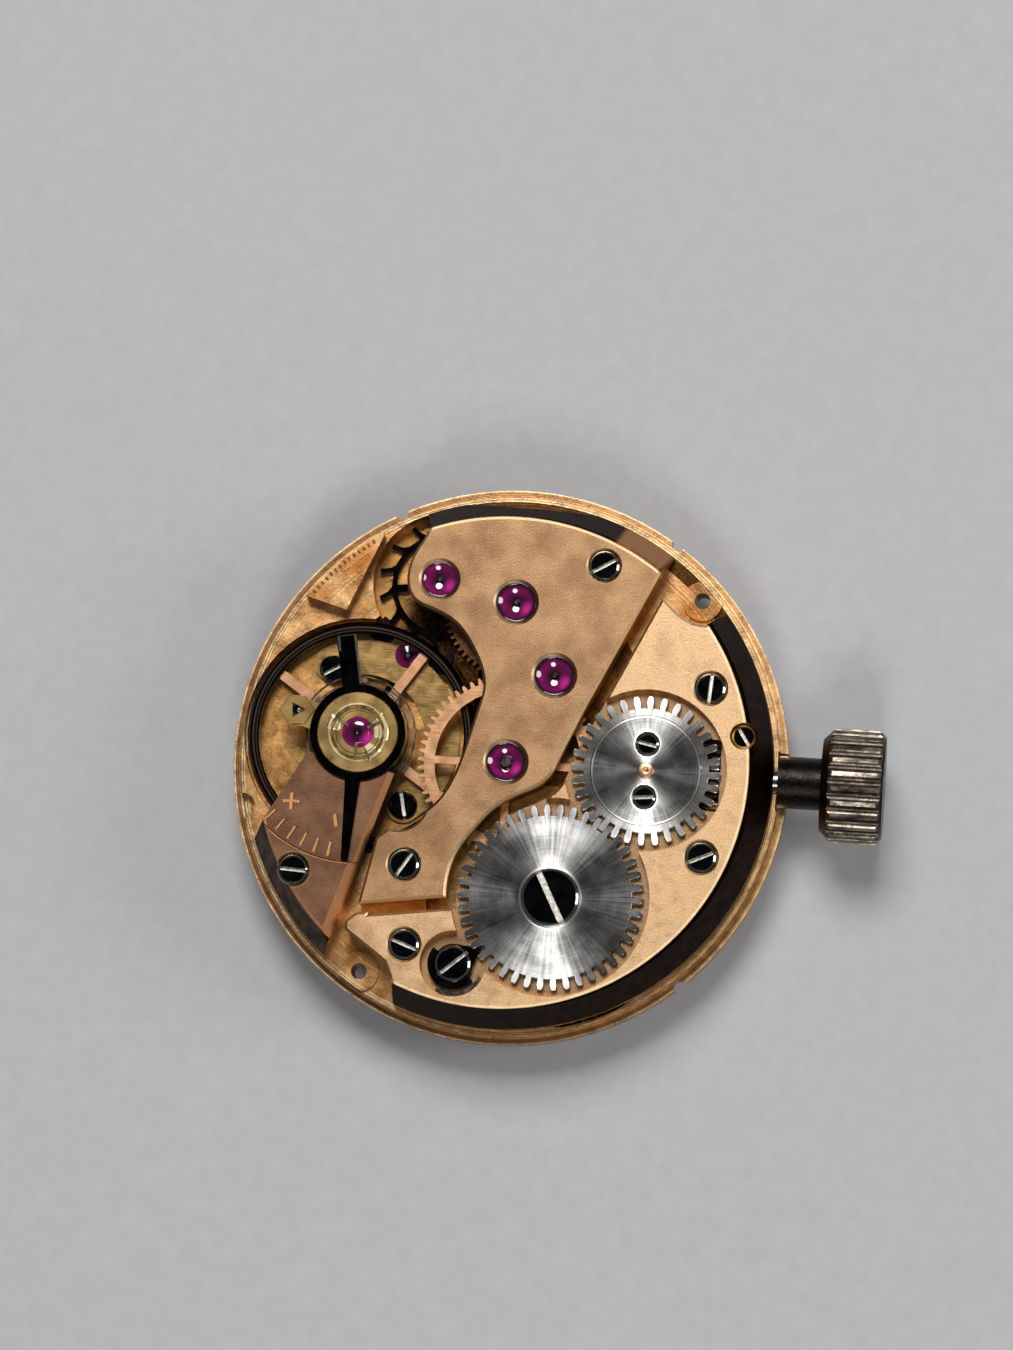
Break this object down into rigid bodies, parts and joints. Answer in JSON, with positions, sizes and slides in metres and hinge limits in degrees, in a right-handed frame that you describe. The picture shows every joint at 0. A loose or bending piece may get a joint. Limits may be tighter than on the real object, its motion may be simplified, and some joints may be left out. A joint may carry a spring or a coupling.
{
  "type": "mechanical watch movement",
  "caption": "Round hand-wound watch movement with bridges, jewelled gear train, lever escapement, sprung balance, winding wheels, stem and crown.",
  "frame": {"origin": "on the centre wheel's axis, in the plane where the dial seats on the main plate", "axes": "+X out along the winding stem to the crown, +Z from the dial side to the bridge side"},
  "size_m": [0.0204, 0.0174, 0.004],
  "materials": {
    "gilt_plate": "matte gilt with fine turned rings",
    "gilt_bridge": "matte rose gilt, polished bevels",
    "train_brass": "satin gilt",
    "balance_gold": "polished rose gold tone",
    "polished_steel": "black polished",
    "grained_steel": "circular graining",
    "pinion_steel": "hardened and polished",
    "spring_steel": "tempered",
    "ruby": "polished synthetic ruby",
    "crown_nickel": "dulled nickel plate"
  },
  "bodies": {
    "movement": {"main_plate": "gilt_plate", "train_bridge": "gilt_bridge", "barrel_bridge": "gilt_bridge", "balance_cock": "gilt_bridge", "pallet_bridge": "gilt_bridge", "bridge_screws": "polished_steel", "pallet_bridge_screws": "polished_steel", "crown_wheel_screws": "polished_steel", "click_screw": "polished_steel", "setting_lever_screw": "polished_steel", "keyless_screws": "polished_steel", "dial_screws": "polished_steel", "upper_train_jewels": "ruby", "lower_train_jewels": "ruby", "pallet_jewels": "ruby", "shock_settings": "train_brass", "shock_jewels": "ruby", "shock_springs": "spring_steel", "crown_wheel_core": "grained_steel", "click_spring": "spring_steel", "stud_holder": "polished_steel", "hairspring_stud": "polished_steel", "hairspring": "spring_steel", "setting_lever_jumper": "grained_steel", "yoke_spring": "spring_steel"},
    "ratchet": {"ratchet_wheel": "grained_steel", "barrel_arbor": "pinion_steel", "ratchet_screw": "polished_steel"},
    "crown_wheel": {"crown_wheel": "grained_steel"},
    "click": {"click": "grained_steel"},
    "barrel": {"barrel_drum": "train_brass", "barrel_cover": "train_brass", "mainspring": "spring_steel"},
    "centre": {"centre_wheel": "train_brass", "centre_arbor": "pinion_steel", "cannon_pinion": "pinion_steel"},
    "third": {"third_wheel": "train_brass", "third_pinion": "pinion_steel"},
    "fourth": {"fourth_wheel": "train_brass", "fourth_pinion": "pinion_steel"},
    "escape": {"escape_wheel": "pinion_steel", "escape_pinion": "pinion_steel"},
    "fork": {"pallet_fork": "pinion_steel", "pallet_stones": "ruby", "pallet_arbor": "pinion_steel"},
    "balance": {"balance_wheel": "balance_gold", "balance_staff": "pinion_steel", "roller": "pinion_steel", "impulse_jewel": "ruby", "collet": "polished_steel"},
    "regulator": {"regulator": "polished_steel"},
    "minute_wheel": {"minute_wheel": "train_brass"},
    "hour_wheel": {"hour_wheel": "train_brass"},
    "setting_wheel": {"setting_wheel": "grained_steel"},
    "winding_pinion": {"winding_pinion": "pinion_steel"},
    "stem": {"winding_stem": "pinion_steel", "crown": "crown_nickel"},
    "sliding_pinion": {"sliding_pinion": "pinion_steel"},
    "setting_lever": {"setting_lever": "grained_steel"},
    "yoke": {"yoke": "grained_steel"}
  },
  "joints": [
    {"name": "centre_wheel_turn", "type": "hinge", "parent": "movement", "child": "centre", "pos_m": [0, 0, 0], "axis": [0, 0, 1], "continuous": true},
    {"name": "barrel_turn", "type": "hinge", "parent": "movement", "child": "barrel", "pos_m": [0.00165, -0.00412, 0], "axis": [0, 0, 1], "continuous": true},
    {"name": "third_wheel_turn", "type": "hinge", "parent": "movement", "child": "third", "pos_m": [0.00133, 0.00278, 0], "axis": [0, 0, 1], "continuous": true},
    {"name": "fourth_wheel_turn", "type": "hinge", "parent": "movement", "child": "fourth", "pos_m": [-0.00002, 0.00501, 0], "axis": [0, 0, 1], "continuous": true},
    {"name": "escape_wheel_turn", "type": "hinge", "parent": "movement", "child": "escape", "pos_m": [-0.00246, 0.00559, 0], "axis": [0, 0, 1], "continuous": true},
    {"name": "minute_wheel_turn", "type": "hinge", "parent": "movement", "child": "minute_wheel", "pos_m": [0.00097, -0.00198, 0], "axis": [0, 0, 1], "continuous": true},
    {"name": "hour_wheel_turn", "type": "hinge", "parent": "movement", "child": "hour_wheel", "pos_m": [0, 0, 0], "axis": [0, 0, 1], "continuous": true},
    {"name": "setting_wheel_turn", "type": "hinge", "parent": "movement", "child": "setting_wheel", "pos_m": [0.00255, 0, 0], "axis": [0, 0, 1], "continuous": true},
    {"name": "crown_turn", "type": "hinge", "parent": "movement", "child": "winding_pinion", "pos_m": [0.006, 0, 0.00115], "axis": [1, 0, 0], "continuous": true},
    {"name": "crown_pull", "type": "slide", "parent": "winding_pinion", "child": "stem", "axis": [1, 0, 0], "range_m": [0, 0.0006]},
    {"name": "clutch_slide", "type": "slide", "parent": "winding_pinion", "child": "sliding_pinion", "axis": [1, 0, 0], "range_m": [-0.00075, 0]},
    {"name": "setting_lever_turn", "type": "hinge", "parent": "movement", "child": "setting_lever", "pos_m": [0.00733, 0.00125, 0], "axis": [0, 0, 1], "range_deg": [0, 28]},
    {"name": "yoke_turn", "type": "hinge", "parent": "movement", "child": "yoke", "pos_m": [0.0056, -0.00232, 0], "axis": [0, 0, 1], "range_deg": [0, 20], "deforming": ["yoke_spring"]},
    {"name": "crown_wheel_turn", "type": "hinge", "parent": "movement", "child": "crown_wheel", "pos_m": [0.00437, 0, 0], "axis": [0, 0, 1], "continuous": true},
    {"name": "ratchet_wheel_turn", "type": "hinge", "parent": "movement", "child": "ratchet", "pos_m": [0.00165, -0.00412, 0], "axis": [0, 0, 1], "continuous": true},
    {"name": "click_turn", "type": "hinge", "parent": "movement", "child": "click", "pos_m": [-0.00123, -0.00637, 0], "axis": [0, 0, 1], "range_deg": [-31, 0], "stiffness_Nm_per_rad": 0.000002},
    {"name": "pallet_fork_turn", "type": "hinge", "parent": "movement", "child": "fork", "pos_m": [-0.00345, 0.0033, 0], "axis": [0, 0, 1], "range_deg": [-5, 5]},
    {"name": "balance_turn", "type": "hinge", "parent": "movement", "child": "balance", "pos_m": [-0.0047, 0.00065, 0], "axis": [0, 0, 1], "range_deg": [-290, 290], "stiffness_Nm_per_rad": 0.00000007, "deforming": ["hairspring"]},
    {"name": "regulator_turn", "type": "hinge", "parent": "movement", "child": "regulator", "pos_m": [-0.0047, 0.00065, 0], "axis": [0, 0, 1], "range_deg": [-41, 6]}
  ],
  "couplings": [
    {"joint": "barrel_turn", "follows": "centre_wheel_turn", "ratio": -0.18182},
    {"joint": "third_wheel_turn", "follows": "centre_wheel_turn", "ratio": -8},
    {"joint": "fourth_wheel_turn", "follows": "centre_wheel_turn", "ratio": 60},
    {"joint": "escape_wheel_turn", "follows": "centre_wheel_turn", "ratio": -660},
    {"joint": "minute_wheel_turn", "follows": "centre_wheel_turn", "ratio": -0.33333},
    {"joint": "hour_wheel_turn", "follows": "centre_wheel_turn", "ratio": 0.083333},
    {"joint": "setting_wheel_turn", "follows": "centre_wheel_turn", "ratio": 0.625},
    {"joint": "clutch_slide", "follows": "crown_pull", "ratio": -1.25},
    {"joint": "setting_lever_turn", "follows": "crown_pull", "rad_per_m": 805.76},
    {"joint": "yoke_turn", "follows": "crown_pull", "rad_per_m": 570.14},
    {"joint": "crown_wheel_turn", "follows": "crown_turn", "ratio": 0.4375},
    {"joint": "ratchet_wheel_turn", "follows": "crown_turn", "ratio": -0.33333}
  ]
}
